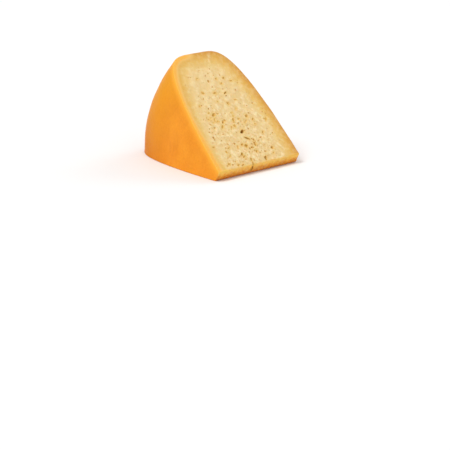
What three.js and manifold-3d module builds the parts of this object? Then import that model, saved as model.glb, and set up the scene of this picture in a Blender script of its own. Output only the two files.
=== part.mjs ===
// A wedge of gouda cheese: an eighth of a rounded wheel, which lies on one of its two cut faces.
// Lengths are in millimetres. +X points to the tip of the wedge, Y runs through the wheel's
// thickness and +Z is up. The origin is the middle of the box round the wedge, at its base.

import * as THREE from 'three';
import { mergeVertices } from 'three/addons/utils/BufferGeometryUtils.js';
import Module from 'manifold-3d';

// The wheel that the wedge is cut from. Its profile follows
// (radius / WHEEL_RADIUS) ^ RIM_POWER + (thickness / WHEEL_HALF_THICKNESS) ^ FACE_POWER = 1.
const WHEEL_RADIUS = 190;
const WHEEL_HALF_THICKNESS = 73;
const RIM_POWER = 2;
const FACE_POWER = 4.5;
const PROFILE_STEPS = 44;
const WHEEL_SEGMENTS = 208;

// The wedge. The tip is blunt and leans back under: its foot stands further from the wheel's
// axis than the lower edge of the sloping cut face does.
const SHARE_OF_WHEEL = 1 / 8;
const TIP_FOOT = 18;
const TIP_UP_CUT = 17;
const SPARE = 20;

// The eyes, which are small gas holes opened by the knife. Few lie near the rind.
const SEED = 20;
const EYES_PER_CUT = 34;
const EYE_RADIUS = [1.3, 2.4];
const EYE_LENGTHENING = 0.5;
const EYE_DEPTH = 0.8;
const EYE_SPACING = 7;
const EYE_DETAIL = 1;
const RIND_MARGIN = 20;
const TIP_MARGIN = 8;
const CROWDING_TO_TIP = 1.35;

// The largest openings in the sloping cut: how far up the cut from the wheel's axis, how far
// across from its middle, half length, half width, and the turn from straight up the cut.
const LARGE_OPENINGS = [
  { up: 66, across: 1.5, length: 4.6, width: 2.4, turn: -60 },
  { up: 55, across: 3, length: 4.4, width: 1.3, turn: 52 },
  { up: 85, across: -19, length: 3.2, width: 1.6, turn: -50 },
  { up: 78.5, across: -24.5, length: 4.4, width: 1.4, turn: -45 },
  { up: 97.5, across: -27.5, length: 4.2, width: 1.8, turn: -60 },
  { up: 45.5, across: -5.5, length: 3.1, width: 1.8, turn: -85 },
  { up: 44.5, across: 10, length: 3.4, width: 1.5, turn: -17 },
  { up: 34.5, across: 34, length: 2.5, width: 1.8, turn: -80 },
  { up: 23, across: 14.5, length: 4, width: 1.7, turn: -25 },
  { up: 35, across: -19.5, length: 2.8, width: 1.5, turn: -47 },
  { up: 21.5, across: -35, length: 2.6, width: 1.5, turn: -64 },
  { up: 25.5, across: -49, length: 2.6, width: 1.4, turn: -69 },
  { up: 86, across: 23.5, length: 2.5, width: 1.8, turn: -85 },
  { up: 85, across: -1.5, length: 3.2, width: 1.3, turn: -26 },
  { up: 109, across: 5.5, length: 2.8, width: 1.6, turn: 3 },
  { up: 124, across: 10, length: 3.2, width: 1.3, turn: -63 },
  { up: 127, across: -6, length: 3, width: 1.4, turn: 83 },
  { up: 130.5, across: -25, length: 2.4, width: 1.6, turn: 80 },
  { up: 146, across: 22, length: 2.2, width: 1.4, turn: -69 },
];
const LARGE_DEPTH = 0.9;

// A break in the blunt tip: how far up the tip's face from its foot, and the rest as above.
const TIP_BREAK = { up: 8, across: -15, length: 5, width: 2.2, turn: -12 };

const RIND_COLOUR = 0xef9a33;
const RIND_ROUGHNESS = 0.45;

const wasm = await Module();
wasm.setup();

const cutAngle = 2 * Math.PI * SHARE_OF_WHEEL;
const tipTop = new THREE.Vector2(-TIP_UP_CUT * Math.cos(cutAngle), TIP_UP_CUT * Math.sin(cutAngle));
const originShift = (WHEEL_RADIUS - tipTop.x) / 2;

/** A repeatable draw of numbers from 0 to 1. */
function seededRandom(seed) {
  const MULTIPLIER = 1664525;
  const INCREMENT = 1013904223;
  const RANGE = 2 ** 32;
  let state = seed;
  return () => {
    state = (Math.imul(state, MULTIPLIER) + INCREMENT) >>> 0;
    return state / RANGE;
  };
}

/** The solid inside a closed geometry, without the empty triangles at its poles. */
function toSolid(geometry) {
  geometry.deleteAttribute('normal');
  geometry.deleteAttribute('uv');
  const merged = mergeVertices(geometry);
  const corners = merged.index.array;
  const kept = [];
  for (let i = 0; i < corners.length; i += 3) {
    const [a, b, c] = corners.subarray(i, i + 3);
    if (a !== b && b !== c && c !== a) kept.push(a, b, c);
  }
  const vertProperties = merged.attributes.position.array;
  return new wasm.Manifold(new wasm.Mesh({ numProp: 3, vertProperties, triVerts: new Uint32Array(kept) }));
}

/** The geometry of a solid, with flat faces. */
function toGeometry(solid) {
  const mesh = solid.getMesh();
  const geometry = new THREE.BufferGeometry();
  geometry.setAttribute('position', new THREE.BufferAttribute(mesh.vertProperties, 3));
  geometry.setIndex(new THREE.BufferAttribute(mesh.triVerts, 1));
  const flat = geometry.toNonIndexed();
  flat.computeVertexNormals();
  return flat;
}

/** Half the wheel's thickness at a distance from its axis. */
function halfThickness(radius) {
  return WHEEL_HALF_THICKNESS * (1 - (radius / WHEEL_RADIUS) ** RIM_POWER) ** (1 / FACE_POWER);
}

/** The whole wheel, turned about the Y axis. */
function wheel() {
  const profile = [];
  for (let i = 0; i <= PROFILE_STEPS; i += 1) {
    const angle = Math.PI * (i / PROFILE_STEPS - 1 / 2);
    const radius = i === 0 || i === PROFILE_STEPS ? 0 : WHEEL_RADIUS * Math.cos(angle) ** (2 / RIM_POWER);
    const side = Math.sign(Math.sin(angle)) * Math.abs(Math.sin(angle)) ** (2 / FACE_POWER);
    profile.push(new THREE.Vector2(radius, WHEEL_HALF_THICKNESS * side));
  }
  const halfSegment = Math.PI / WHEEL_SEGMENTS;
  return toSolid(new THREE.LatheGeometry(profile, WHEEL_SEGMENTS, halfSegment));
}

/** The prism that keeps the wedge: both cuts and the blunt tip. */
function cutPrism() {
  const reach = WHEEL_RADIUS / Math.cos(cutAngle / 2) + SPARE;
  const outline = new THREE.Shape([
    new THREE.Vector2(-TIP_FOOT, 0),
    tipTop,
    new THREE.Vector2(-reach * Math.cos(cutAngle), reach * Math.sin(cutAngle)),
    new THREE.Vector2(-reach, 0),
  ]);
  const depth = 2 * (WHEEL_HALF_THICKNESS + SPARE);
  const prism = new THREE.ExtrudeGeometry(outline, { depth, bevelEnabled: false });
  prism.translate(0, 0, -depth / 2);
  prism.rotateX(Math.PI / 2);
  return toSolid(prism);
}

/** A cut face: its direction away from the wheel's axis and its outward normal. */
function cutFace(angle, outward) {
  const along = new THREE.Vector3(-Math.cos(angle), 0, Math.sin(angle));
  const normal = new THREE.Vector3(Math.sin(angle), 0, Math.cos(angle)).multiplyScalar(outward);
  return { along, normal };
}

/** An egg-shaped opening centred on a flat face, with its length turned in that face. */
function opening(centre, along, normal, length, width, depth, turn) {
  const direction = along.clone().applyAxisAngle(normal, turn);
  const across = new THREE.Vector3().crossVectors(normal, direction);
  const place = new THREE.Matrix4().makeBasis(direction, across, normal).setPosition(centre);
  const egg = new THREE.IcosahedronGeometry(1, EYE_DETAIL);
  egg.scale(length, width, depth);
  egg.applyMatrix4(place);
  return toSolid(egg);
}

/** A point on a cut face. */
function onCut(face, up, across) {
  return face.along.clone().multiplyScalar(up).setY(across);
}

/** Places for the small eyes of one cut face, clear of the places that are taken. */
function eyePlaces(random, taken) {
  const places = [];
  const lowest = TIP_UP_CUT + TIP_MARGIN;
  const highest = WHEEL_RADIUS - RIND_MARGIN;
  while (places.length < EYES_PER_CUT) {
    const up = lowest + (highest - lowest) * random() ** CROWDING_TO_TIP;
    const reach = halfThickness(up) - RIND_MARGIN;
    const across = reach * (2 * random() - 1);
    const clear = (other) => Math.hypot(other.up - up, other.across - across) > EYE_SPACING + other.length;
    if ([...taken, ...places].every(clear)) places.push({ up, across, length: 0 });
  }
  return places;
}

/** The small eyes of one cut face. */
function smallEyes(face, random, taken) {
  return eyePlaces(random, taken).map(({ up, across }) => {
    const width = THREE.MathUtils.lerp(...EYE_RADIUS, random() ** 2);
    const length = width * (1 + EYE_LENGTHENING * random());
    return opening(onCut(face, up, across), face.along, face.normal, length, width, EYE_DEPTH * width,
      Math.PI * random());
  });
}

/** The large openings of the sloping cut face. */
function largeEyes(face) {
  return LARGE_OPENINGS.map(({ up, across, length, width, turn }) => opening(
    onCut(face, up, across), face.along, face.normal, length, width, LARGE_DEPTH * width,
    THREE.MathUtils.degToRad(turn)));
}

/** The break in the blunt tip, on the face between its foot and its top. */
function tipBreak() {
  const foot = new THREE.Vector3(-TIP_FOOT, 0, 0);
  const top = new THREE.Vector3(tipTop.x, 0, tipTop.y);
  const along = top.clone().sub(foot).normalize();
  const normal = new THREE.Vector3().crossVectors(new THREE.Vector3(0, 1, 0), along);
  const { up, across, length, width, turn } = TIP_BREAK;
  const centre = foot.clone().addScaledVector(along, up).setY(across);
  return opening(centre, along, normal, length, width, width, THREE.MathUtils.degToRad(turn));
}

/** The wedge with its eyes, in its final place. */
function wedge() {
  const random = seededRandom(SEED);
  const slope = cutFace(cutAngle, 1);
  const base = cutFace(0, -1);
  const restingPoint = { up: originShift, across: 0, length: 2 * EYE_SPACING };
  const openings = [
    ...largeEyes(slope),
    ...smallEyes(slope, random, LARGE_OPENINGS),
    ...smallEyes(base, random, [restingPoint]),
    tipBreak(),
  ];
  const whole = wheel().intersect(cutPrism());
  const solid = openings.reduce((cheese, hole) => cheese.subtract(hole), whole);
  const geometry = toGeometry(solid);
  const material = new THREE.MeshStandardMaterial({ color: RIND_COLOUR, roughness: RIND_ROUGHNESS, metalness: 0 });
  const mesh = new THREE.Mesh(geometry, material);
  mesh.name = 'cheese_wedge';
  mesh.position.x = originShift;
  return mesh;
}

const gouda = new THREE.Group();
gouda.add(wedge());

export default gouda;
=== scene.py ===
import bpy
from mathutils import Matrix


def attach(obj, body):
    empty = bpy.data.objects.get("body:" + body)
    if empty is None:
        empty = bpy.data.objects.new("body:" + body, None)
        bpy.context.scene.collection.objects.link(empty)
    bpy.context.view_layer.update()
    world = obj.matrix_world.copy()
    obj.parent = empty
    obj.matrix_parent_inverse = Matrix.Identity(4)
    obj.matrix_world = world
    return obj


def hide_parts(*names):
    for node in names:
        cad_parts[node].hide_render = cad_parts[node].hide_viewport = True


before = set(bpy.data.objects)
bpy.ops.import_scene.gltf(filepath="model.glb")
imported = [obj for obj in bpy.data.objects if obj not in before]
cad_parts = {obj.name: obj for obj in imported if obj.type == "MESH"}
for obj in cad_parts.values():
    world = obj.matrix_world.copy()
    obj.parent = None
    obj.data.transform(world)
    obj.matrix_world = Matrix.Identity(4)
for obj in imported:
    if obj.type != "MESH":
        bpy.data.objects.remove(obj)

"""A wedge of gouda: an eighth of a rounded wheel, lying on one of its two cut faces.

Lengths are in metres. +X points to the blunt tip, Y runs through the wheel's thickness and +Z is up.
The wheel's axis is parallel to Y and meets the base at Wedge.axis_x.
"""
import logging
import math
from collections.abc import Iterable, Iterator
from contextlib import contextmanager
from dataclasses import asdict, dataclass, field, fields
from enum import Enum

import bmesh
import bpy
import numpy as np
from mathutils import Matrix, Quaternion, Vector

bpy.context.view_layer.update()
NODE = "cheese_wedge"
BODY = "root"
MM = 0.001
TINY = 1e-12
Socket = bpy.types.NodeSocket
Sockets = bpy.types.bpy_prop_collection
Sources = dict[str | int, object]  # sockets or plain values, by an input's name or number
Coats = Iterable[tuple[Socket, object]]  # masks with the colours that they let show
log = logging.getLogger("gouda")


class Side(Enum):
    """The rind, and the flat sides that the knife left."""

    RIND = "rind"
    SLOPE = "slope"
    BASE = "base"
    TIP = "tip"


class Finish(Enum):
    """The material slots of the wedge, by their number."""

    RIND = 0
    PASTE = 1


def srgb(red: float, green: float, blue: float) -> tuple[float, float, float, float]:
    """A colour as seen, from 0 to 255, as the shader's linear light.

    Args:
        red: The red part.
        green: The green part.
        blue: The blue part.

    Returns:
        The linear colour with an alpha of 1.
    """
    brightest, knee, low_slope, offset, power = 255, 0.04045, 12.92, 0.055, 2.4
    parts = [value / brightest for value in (red, green, blue)]
    linear = [v / low_slope if v <= knee else ((v + offset) / (1 + offset)) ** power for v in parts]
    return (linear[0], linear[1], linear[2], 1.0)


def rise(values: np.ndarray, low: np.ndarray | float, high: np.ndarray | float) -> np.ndarray:
    """Takes values to 0 at low and 1 at high, held beyond them. High may be the smaller."""
    return np.clip((values - low) / (high - low), 0, 1)


def stepped(length: float, step: float, edge_steps: tuple[float, ...]) -> np.ndarray:
    """Places along a line that crowd towards both its ends.

    Args:
        length: The line's length.
        step: The usual step.
        edge_steps: The first steps in from each end.

    Returns:
        The places from 0 to the length.
    """
    fewest_steps = 2
    ends = np.cumsum(edge_steps)
    steps = max(fewest_steps, round((length - 2 * ends[-1]) / step))
    middle = np.linspace(ends[-1], length - ends[-1], steps + 1)
    return np.concatenate([[0], ends[:-1], middle, length - ends[:-1][::-1], [length]])


@dataclass(frozen=True)
class Swell:
    """Soft uneven waves over a surface, as a sum of seeded plane waves."""

    wavelength: float
    height: float
    seed: int
    waves: int = 14
    shortest: float = 0.7
    longest: float = 1.6

    def at(self, points: np.ndarray) -> np.ndarray:
        """The height of the waves at points in space.

        Args:
            points: The points, one in each row.

        Returns:
            One height for each point.
        """
        draw = np.random.RandomState(self.seed)
        total = np.zeros(len(points))
        for _ in range(self.waves):
            direction = draw.normal(size=3)
            direction /= np.linalg.norm(direction)
            pitch = self.wavelength * draw.uniform(self.shortest, self.longest)
            phase = draw.uniform(0, 2 * math.pi)
            total += np.sin(points @ direction * (2 * math.pi / pitch) + phase)
        return total * self.height / math.sqrt(self.waves)


@dataclass(frozen=True)
class Wheel:
    """The wheel that the wedge was cut from.

    Its profile is (distance from the axis / radius) ^ rim_power + (across / half_thickness) ^ face_power = 1.
    """

    radius: float = 190 * MM
    half_thickness: float = 73 * MM
    rim_power: float = 2.0
    face_power: float = 4.5
    samples: int = 700
    block: int = 4000

    def half_thickness_at(self, radius: np.ndarray | float) -> np.ndarray:
        """Half the thickness at a distance from the axis."""
        inside = np.clip(1 - (np.abs(radius) / self.radius) ** self.rim_power, 0, 1)
        return self.half_thickness * inside ** (1 / self.face_power)

    def radius_at(self, across: np.ndarray | float) -> np.ndarray:
        """The rim's distance from the axis at a distance from the middle plane."""
        inside = np.clip(1 - (np.abs(across) / self.half_thickness) ** self.face_power, 0, 1)
        return self.radius * inside ** (1 / self.rim_power)

    def outline(self, count: int) -> tuple[np.ndarray, np.ndarray]:
        """The wheel's profile on the far side of the middle plane, and the directions into the cheese.

        Args:
            count: How many points are wanted.

        Returns:
            The points (radius, across) from the axis to the rim, evenly spaced, and their inward normals.
        """
        fineness = 40
        angle = np.linspace(0, math.pi / 2, fineness * count)
        radius = self.radius * np.sin(angle) ** (2 / self.rim_power)
        across = self.half_thickness * np.cos(angle) ** (2 / self.face_power)
        length = np.concatenate([[0], np.cumsum(np.hypot(np.diff(radius), np.diff(across)))])
        even = np.linspace(0, length[-1], count)
        points = np.stack([np.interp(even, length, radius), np.interp(even, length, across)], axis=1)
        tangent = np.gradient(points, axis=0)
        tangent /= np.linalg.norm(tangent, axis=1, keepdims=True)
        return points, np.stack([tangent[:, 1], -tangent[:, 0]], axis=1)

    def depth(self, radius: np.ndarray, across: np.ndarray) -> tuple[np.ndarray, np.ndarray]:
        """How far points lie beneath the rind.

        Args:
            radius: Distances from the axis.
            across: Distances from the middle plane, with their sign.

        Returns:
            The depths and the directions (radius, across) that lead deeper.
        """
        points, normals = self.outline(self.samples)
        place = np.stack([radius, np.abs(across)], axis=1)
        depth = np.empty(len(place))
        inward = np.empty((len(place), 2))
        for start in range(0, len(place), self.block):
            part = slice(start, start + self.block)
            gap = ((place[part, None, :] - points[None, :, :]) ** 2).sum(axis=2)
            nearest = gap.argmin(axis=1)
            inward[part] = normals[nearest]
            depth[part] = ((place[part] - points[nearest]) * normals[nearest]).sum(axis=1)
        inward[:, 1] *= np.where(across < 0, -1, 1)
        return depth, inward


@dataclass(frozen=True)
class Wedge:
    """The eighth of the wheel, with its blunt tip that leans back under."""

    wheel: Wheel = field(default_factory=Wheel)
    share: float = 1 / 8
    tip_foot: float = 18 * MM
    tip_up_cut: float = 17 * MM
    edge_radius: float = 1.5 * MM
    step: float = 1.7 * MM
    turn_step: float = 3.0 * MM
    edge_steps: tuple[float, ...] = (0.35 * MM, 0.45 * MM, 0.7 * MM, 1.0 * MM, 1.3 * MM)
    rim_band: float = 25 * MM
    rim_start: float = 0.8
    profile_samples: int = 2000
    easing_passes: int = 5

    @property
    def angle(self) -> float:
        """The angle between the two cuts."""
        return 2 * math.pi * self.share

    @property
    def axis_x(self) -> float:
        """Where the wheel's axis meets the base."""
        return (self.wheel.radius + self.tip_up_cut * math.cos(self.angle)) / 2

    @property
    def tip_normal(self) -> np.ndarray:
        """The outward normal of the blunt tip.

        Returns:
            The normal's parts along X and Z.
        """
        climb = self.tip_up_cut * math.sin(self.angle)
        run = self.tip_foot - self.tip_up_cut * math.cos(self.angle)
        return np.array([climb, -run]) / math.hypot(climb, run)

    def tip_radius(self, turn: float) -> float:
        """How far the blunt tip lies from the wheel's axis at a turn up from the base."""
        reach = -self.tip_normal[0] * self.tip_foot
        return reach / (self.tip_normal[1] * math.sin(turn) - self.tip_normal[0] * math.cos(turn))

    def turn_of(self, side: Side) -> float:
        """How far one of the two cuts is turned up from the base."""
        return self.angle if side is Side.SLOPE else 0.0

    def up_cut(self, points: np.ndarray, side: Side) -> np.ndarray:
        """How far points lie from the wheel's axis, measured up one cut."""
        turn = self.turn_of(side)
        return (self.axis_x - points[:, 0]) * math.cos(turn) + points[:, 2] * math.sin(turn)

    def face_frame(self, side: Side) -> tuple[Vector, Vector, Vector]:
        """Where a flat side lies and which way it faces.

        Args:
            side: The flat side.

        Returns:
            Its origin, its direction away from the wheel's axis or the foot, and its outward normal.
        """
        if side is Side.TIP:
            normal = Vector((self.tip_normal[0], 0, self.tip_normal[1]))
            return Vector((self.axis_x - self.tip_foot, 0, 0)), Vector((0, -1, 0)).cross(normal), normal
        turn = self.turn_of(side)
        along = Vector((-math.cos(turn), 0, math.sin(turn)))
        outward = 1 if side is Side.SLOPE else -1
        normal = Vector((math.sin(turn), 0, math.cos(turn))) * outward
        return Vector((self.axis_x, 0, 0)), along, normal

    def rows(self, turn: float) -> tuple[np.ndarray, np.ndarray]:
        """The levels of one cut, from the tip to the rim.

        Args:
            turn: The cut's turn up from the base.

        Returns:
            Each level's distance from the axis, and half the wheel's thickness there.
        """
        points, _ = self.wheel.outline(self.profile_samples)
        last = float(self.wheel.radius_at(self.rim_band))
        first = self.tip_radius(turn)
        points = points[(points[:, 0] > first) & (points[:, 0] < last)]
        points = np.concatenate([[[first, float(self.wheel.half_thickness_at(first))]], points,
                                 [[last, self.rim_band]]])
        length = np.concatenate([[0], np.cumsum(np.linalg.norm(np.diff(points, axis=0), axis=1))])
        places = stepped(self.wheel.radius, self.step, self.edge_steps) / self.wheel.radius * length[-1]
        return np.interp(places, length, points[:, 0]), np.interp(places, length, points[:, 1])

    def cut_grid(self, turn: float) -> np.ndarray:
        """The points of a section through the wheel's axis, from the tip to the rim.

        Args:
            turn: The section's turn up from the base.

        Returns:
            The points, by level and by column across.
        """
        radius, half = self.rows(turn)
        width = 2 * self.wheel.half_thickness
        columns = 2 * stepped(width, self.step, self.edge_steps) / width - 1
        across = half[:, None] * columns[None, :]
        last = radius[-1]
        near_rim = rise(radius / last, self.rim_start, 1) ** 2
        bulge = (self.wheel.radius_at(across) - last) * near_rim[:, None]
        lift = np.where(np.abs(across) < self.rim_band, np.maximum(bulge, 0), 0)
        reach = radius[:, None] + lift
        return np.stack([self.axis_x - reach * math.cos(turn), across, reach * math.sin(turn)], axis=-1)

    def turns(self) -> np.ndarray:
        """The turns up from the base at which the rind has a line of points."""
        length = self.angle * self.wheel.radius
        return stepped(length, self.turn_step, self.edge_steps) / self.wheel.radius

    def patches(self) -> list[tuple[np.ndarray, Finish, bool]]:
        """The grids of the wedge's skin.

        Returns:
            Each grid with its finish and whether its faces are turned over.
        """
        slices = np.stack([self.cut_grid(float(turn)) for turn in self.turns()])
        near, far, rim, tip = slices[:, :, 0], slices[:, :, -1], slices[:, -1, :], slices[:, 0, :]
        return [(slices[0], Finish.PASTE, True), (slices[-1], Finish.PASTE, False),
                (near, Finish.RIND, False), (far, Finish.RIND, True),
                (rim, Finish.RIND, False), (tip, Finish.PASTE, True)]

    def gaps(self, points: np.ndarray) -> tuple[dict[Side, np.ndarray], dict[Side, np.ndarray]]:
        """How far points lie beneath the rind and each flat side.

        Args:
            points: The points, one in each row.

        Returns:
            The distances by side, and the directions that lead deeper.
        """
        place = points - np.array([self.axis_x, 0, 0])
        x, across, up = place.T
        radius = np.maximum(np.hypot(x, up), TINY)
        depth, inward = self.wheel.depth(radius, across)
        gaps = {Side.RIND: depth}
        deeper = {Side.RIND: np.stack([inward[:, 0] * x, inward[:, 1] * radius, inward[:, 0] * up],
                                      axis=1) / radius[:, None]}
        for side in (Side.SLOPE, Side.BASE, Side.TIP):
            origin, _, normal = self.face_frame(side)
            start = np.array([origin.x - self.axis_x, 0, 0])
            gaps[side] = (start - place) @ np.array(normal)
            deeper[side] = np.broadcast_to(-np.array(normal), place.shape)
        return gaps, deeper

    def rounded(self, points: np.ndarray) -> tuple[np.ndarray, np.ndarray]:
        """Eases the points near the edges onto a rounding.

        Args:
            points: The points of the sharp wedge.

        Returns:
            The moved points and their outward directions.
        """
        outward = np.zeros_like(points)
        for _ in range(self.easing_passes):
            gaps, deeper = self.gaps(points)
            weights = {side: np.maximum(self.edge_radius - gap, 0) for side, gap in gaps.items()}
            total = np.sqrt(sum(weight ** 2 for weight in weights.values()))
            inward = sum(weights[side][:, None] * deeper[side] for side in weights)
            size = np.maximum(np.linalg.norm(inward, axis=1, keepdims=True), TINY)
            outward = -inward / size
            points = points - outward * np.maximum(total - self.edge_radius, 0)[:, None]
        return points, outward


@dataclass(frozen=True)
class Opening:
    """A large opening: its place from the axis and the middle, half sizes, turn in degrees and depth."""

    up: float
    across: float
    length: float
    width: float
    turn: float
    depth: float = 0.82


def openings(*rows: tuple[float, ...]) -> tuple[Opening, ...]:
    """Large openings, from rows with their place and sizes in millimetres, their turn and their depth."""
    return tuple(Opening(up * MM, across * MM, length * MM, width * MM, *rest)
                 for up, across, length, width, *rest in rows)


@dataclass(frozen=True)
class Cluster:
    """A place in the sloping cut where the eyes crowd, and how far it reaches."""

    up: float
    across: float
    reach: float


class Graph:
    """Adds and links the nodes of one tree."""

    def __init__(self, tree: bpy.types.NodeTree) -> None:
        """Keeps the tree to work on."""
        self.tree = tree

    def feed(self, node: bpy.types.Node, sources: Sources) -> None:
        """Fills a node's inputs.

        Args:
            node: The node.
            sources: The sockets that feed them, or plain values.
        """
        for key, value in sources.items():
            if isinstance(value, Socket):
                self.tree.links.new(value, node.inputs[key])
            else:
                node.inputs[key].default_value = value

    def add(self, kind: str, sources: Sources | None = None, **settings: object) -> bpy.types.Node:
        """Adds a node.

        Args:
            kind: Blender's name of the node type.
            sources: What its inputs are fed with.
            **settings: Values of the node's own properties.

        Returns:
            The new node.
        """
        node = self.tree.nodes.new(kind)
        for name, value in settings.items():
            setattr(node, name, value)
        self.feed(node, sources or {})
        return node

    def math(self, operation: str, *values: object) -> Socket:
        """The result of a sum on sockets or numbers."""
        return self.add("ShaderNodeMath", dict(enumerate(values)), operation=operation).outputs[0]

    def product(self, first: Socket, *others: Socket) -> Socket:
        """Multiplies sockets with each other.

        Args:
            first: The first socket.
            *others: The rest.

        Returns:
            The socket with the product.
        """
        for other in others:
            first = self.math("MULTIPLY", first, other)
        return first

    def weighted(self, *parts: tuple[Socket, float]) -> Socket:
        """Adds sockets up, each by its weight.

        Args:
            *parts: The sockets with their weights.

        Returns:
            The socket with the sum.
        """
        total = 0.0
        for value, weight in parts:
            total = self.math("MULTIPLY_ADD", value, weight, total)
        return total

    def span(self, value: Socket, low: float, high: float, start: object = 0.0,
             end: object = 1.0) -> Socket:
        """Takes a value to start where it is low and to end where it is high, held beyond them."""
        sources = {"Value": value, "From Min": low, "From Max": high, "To Min": start, "To Max": end}
        return self.add("ShaderNodeMapRange", sources).outputs[0]

    def mix(self, share: object, first: object, second: object) -> Socket:
        """A mix of two colours.

        Args:
            share: How much of the second colour there is.
            first: The first colour or its socket.
            second: The second colour or its socket.

        Returns:
            The socket with the colour.
        """
        factor, colour_a, colour_b, result = 0, 6, 7, 2
        sources = {factor: share, colour_a: first, colour_b: second}
        return self.add("ShaderNodeMix", sources, data_type="RGBA").outputs[result]

    def coated(self, colour: Socket, coats: Coats) -> Socket:
        """Lays colours over another.

        Args:
            colour: The socket with the lowest colour.
            coats: The masks with their colours, from the lowest to the highest.

        Returns:
            The socket with the colour.
        """
        for mask, tint in coats:
            colour = self.mix(mask, colour, tint)
        return colour

    def ramp(self, value: Socket, stops: list[tuple[float, tuple]]) -> Socket:
        """A colour that follows a value from 0 to 1.

        Args:
            value: The socket with the value.
            stops: The places and colours, in order.

        Returns:
            The socket with the colour.
        """
        node = self.add("ShaderNodeValToRGB", {"Fac": value})
        marks = node.color_ramp.elements
        while len(marks) < len(stops):
            marks.new(1.0)
        for mark, (place, colour) in zip(marks, stops):
            mark.position = place
            mark.color = colour
        return node.outputs["Color"]

    def attribute(self, name: str, output: str = "Fac") -> Socket:
        """The value of a named attribute of the mesh."""
        return self.add("ShaderNodeAttribute", attribute_name=name).outputs[output]


def new_group(name: str, kind: str, inputs: dict[str, str],
              outputs: dict[str, str]) -> tuple[bpy.types.NodeTree, Graph, Sockets]:
    """Starts a node group.

    Args:
        name: The group's name.
        kind: Blender's name of the tree type.
        inputs: The kinds of its inputs, by their names.
        outputs: The kinds of its outputs, by their names.

    Returns:
        The group, its graph and the sockets that bring its inputs.
    """
    tree = bpy.data.node_groups.new(name, kind)
    for in_out, sockets in (("INPUT", inputs), ("OUTPUT", outputs)):
        for socket, sort in sockets.items():
            tree.interface.new_socket(socket, in_out=in_out, socket_type="NodeSocket" + sort)
    graph = Graph(tree)
    return tree, graph, graph.add("NodeGroupInput").outputs


def new_object(name: str, data: bpy.types.ID) -> bpy.types.Object:
    """Puts a mesh, a light or a camera in the scene.

    Args:
        name: The object's name.
        data: The mesh, light or camera.

    Returns:
        The object.
    """
    made = bpy.data.objects.new(name, data)
    bpy.context.scene.collection.objects.link(made)
    return made


@contextmanager
def edited(mesh: bpy.types.Mesh) -> Iterator[bmesh.types.BMesh]:
    """Opens a mesh for edits, and stores them at the end.

    Args:
        mesh: The mesh.

    Returns:
        The mesh to edit, for a with statement.
    """
    working = bmesh.new()
    working.from_mesh(mesh)
    yield working
    working.to_mesh(mesh)
    working.free()


def evaluated_mesh(source: bpy.types.Object) -> bpy.types.Mesh:
    """A plain copy of an object's mesh with its modifiers applied.

    Args:
        source: The object.

    Returns:
        The new mesh.
    """
    view = bpy.context.evaluated_depsgraph_get()
    view.update()
    return bpy.data.meshes.new_from_object(source.evaluated_get(view))


def grid_mesh(name: str, patches: list[tuple[np.ndarray, Finish, bool]]) -> bpy.types.Mesh:
    """Joins grids of points into one closed mesh.

    Args:
        name: The mesh's name.
        patches: Each grid with its finish and whether its faces are turned over.

    Returns:
        The mesh, with doubled points merged.
    """
    seam = 0.01 * MM
    points, faces, finishes, start = [], [], [], 0
    for grid, finish, turned in patches:
        rows, columns = grid.shape[:2]
        index = start + np.arange(rows * columns).reshape(rows, columns)
        quads = np.stack([index[:-1, :-1], index[:-1, 1:], index[1:, 1:], index[1:, :-1]], axis=-1)
        quads = quads.reshape(-1, 4)
        faces.extend((quads[:, ::-1] if turned else quads).tolist())
        finishes.extend([finish.value] * len(quads))
        points.append(grid.reshape(-1, 3))
        start += rows * columns
    mesh = bpy.data.meshes.new(name)
    mesh.from_pydata(np.concatenate(points).tolist(), [], faces)
    mesh.polygons.foreach_set("material_index", finishes)
    with edited(mesh) as working:
        bmesh.ops.remove_doubles(working, verts=working.verts, dist=seam)
        bmesh.ops.recalc_face_normals(working, faces=working.faces)
    return mesh


def loose_crumbs(working: bmesh.types.BMesh) -> list[bmesh.types.BMVert]:
    """The points of every part that hangs apart from the largest one.

    Args:
        working: The mesh to look through.

    Returns:
        The points to delete.
    """
    parts, seen = [], set()
    for start in working.verts:
        if start in seen:
            continue
        seen.add(start)
        part = [start]
        for vert in part:
            fresh = {edge.other_vert(vert) for edge in vert.link_edges} - seen
            seen |= fresh
            part.extend(fresh)
        parts.append(part)
    parts.sort(key=len)
    return [vert for part in parts[:-1] for vert in part]


def read_points(mesh: bpy.types.Mesh) -> np.ndarray:
    """The points of a mesh.

    Args:
        mesh: The mesh.

    Returns:
        The points, one in each row.
    """
    flat = np.empty(3 * len(mesh.vertices))
    mesh.vertices.foreach_get("co", flat)
    return flat.reshape(-1, 3)


def write_attribute(mesh: bpy.types.Mesh, name: str, values: np.ndarray) -> None:
    """Stores one number, or one vector, for each point of a mesh.

    Args:
        mesh: The mesh.
        name: The attribute's name.
        values: The numbers, or the vectors in rows.
    """
    kind, field_name = ("FLOAT", "value") if values.ndim == 1 else ("FLOAT_VECTOR", "vector")
    store = mesh.attributes.new(name, kind, "POINT")
    store.data.foreach_set(field_name, values.astype(np.float32).ravel())


def label(field_name: str) -> str:
    """The name of the socket that takes a field's value."""
    return field_name.replace("_", " ").title()


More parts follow.
